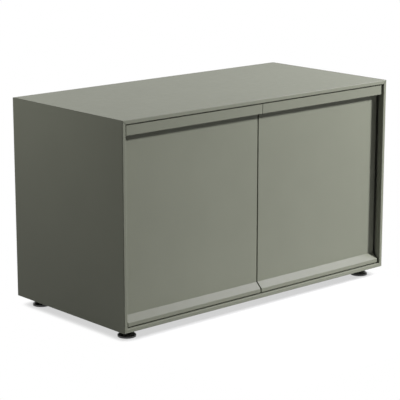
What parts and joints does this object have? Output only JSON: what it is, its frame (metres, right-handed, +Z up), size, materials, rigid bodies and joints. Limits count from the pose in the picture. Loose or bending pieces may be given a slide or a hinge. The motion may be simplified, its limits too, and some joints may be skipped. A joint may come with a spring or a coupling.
{
  "type": "credenza",
  "caption": "Low steel credenza: mitred case, doors with a recessed front, pull strip and sloping ledge, a partition, adjustable shelves and levelling feet.",
  "frame": {"origin": "on the floor, midway between the sides and midway between front and back", "axes": "+X to the right seen from the front, +Y to the back, +Z up; the doors face -Y"},
  "size_m": [0.95, 0.457, 0.565],
  "materials": {
    "case_paint": "satin powder coat",
    "door_paint": "satin powder coat",
    "inner_paint": "satin powder coat",
    "zinc_plate": "bright zinc plate",
    "foot_plastic": "black moulded",
    "nylon": "natural nylon",
    "magnet_cup": "nickel plate",
    "bumper_rubber": "soft"
  },
  "bodies": {
    "case": {"bottom_panel": "case_paint", "top_panel": "case_paint", "left_side_panel": "case_paint", "right_side_panel": "case_paint", "back_panel": "case_paint", "center_partition": "inner_paint", "left_top_stiffener": "inner_paint", "right_top_stiffener": "inner_paint", "left_shelf": "inner_paint", "right_shelf": "inner_paint", "left_shelf_clips": "zinc_plate", "right_shelf_clips": "zinc_plate", "left_front_shelf_standard": "inner_paint", "right_front_shelf_standard": "inner_paint", "left_rear_shelf_standard": "inner_paint", "right_rear_shelf_standard": "inner_paint", "left_door_magnet": "magnet_cup", "right_door_magnet": "magnet_cup", "left_upper_pivot_pin": "zinc_plate", "right_upper_pivot_pin": "zinc_plate", "left_lower_pivot_pin": "zinc_plate", "right_lower_pivot_pin": "zinc_plate", "front_left_leveller_plate": "zinc_plate", "front_right_leveller_plate": "zinc_plate", "back_left_leveller_plate": "zinc_plate", "back_right_leveller_plate": "zinc_plate", "leveller_lock_nuts": "zinc_plate"},
    "left_door": {"left_door_skin": "door_paint", "left_door_pan": "door_paint", "left_door_bumpers": "bumper_rubber", "left_upper_pivot_bracket": "zinc_plate", "left_lower_pivot_bracket": "zinc_plate", "left_upper_pivot_bush": "nylon", "left_lower_pivot_bush": "nylon"},
    "right_door": {"right_door_skin": "door_paint", "right_door_pan": "door_paint", "right_door_bumpers": "bumper_rubber", "right_upper_pivot_bracket": "zinc_plate", "right_lower_pivot_bracket": "zinc_plate", "right_upper_pivot_bush": "nylon", "right_lower_pivot_bush": "nylon"},
    "front_left_foot": {"front_left_foot_pad": "foot_plastic", "front_left_foot_stem": "zinc_plate"},
    "front_right_foot": {"front_right_foot_pad": "foot_plastic", "front_right_foot_stem": "zinc_plate"},
    "back_left_foot": {"back_left_foot_pad": "foot_plastic", "back_left_foot_stem": "zinc_plate"},
    "back_right_foot": {"back_right_foot_pad": "foot_plastic", "back_right_foot_stem": "zinc_plate"}
  },
  "joints": [
    {"name": "left_door_hinge", "type": "hinge", "parent": "case", "child": "left_door", "pos_m": [-0.44195, -0.21125, 0.2953], "axis": [0, 0, -1], "range_deg": [0, 105]},
    {"name": "right_door_hinge", "type": "hinge", "parent": "case", "child": "right_door", "pos_m": [0.44195, -0.21125, 0.2953], "axis": [0, 0, 1], "range_deg": [0, 105]},
    {"name": "front_left_foot_height", "type": "slide", "parent": "case", "child": "front_left_foot", "axis": [0, 0, -1], "range_m": [0, 0.01]},
    {"name": "front_right_foot_height", "type": "slide", "parent": "case", "child": "front_right_foot", "axis": [0, 0, -1], "range_m": [0, 0.01]},
    {"name": "back_left_foot_height", "type": "slide", "parent": "case", "child": "back_left_foot", "axis": [0, 0, -1], "range_m": [0, 0.01]},
    {"name": "back_right_foot_height", "type": "slide", "parent": "case", "child": "back_right_foot", "axis": [0, 0, -1], "range_m": [0, 0.01]}
  ]
}
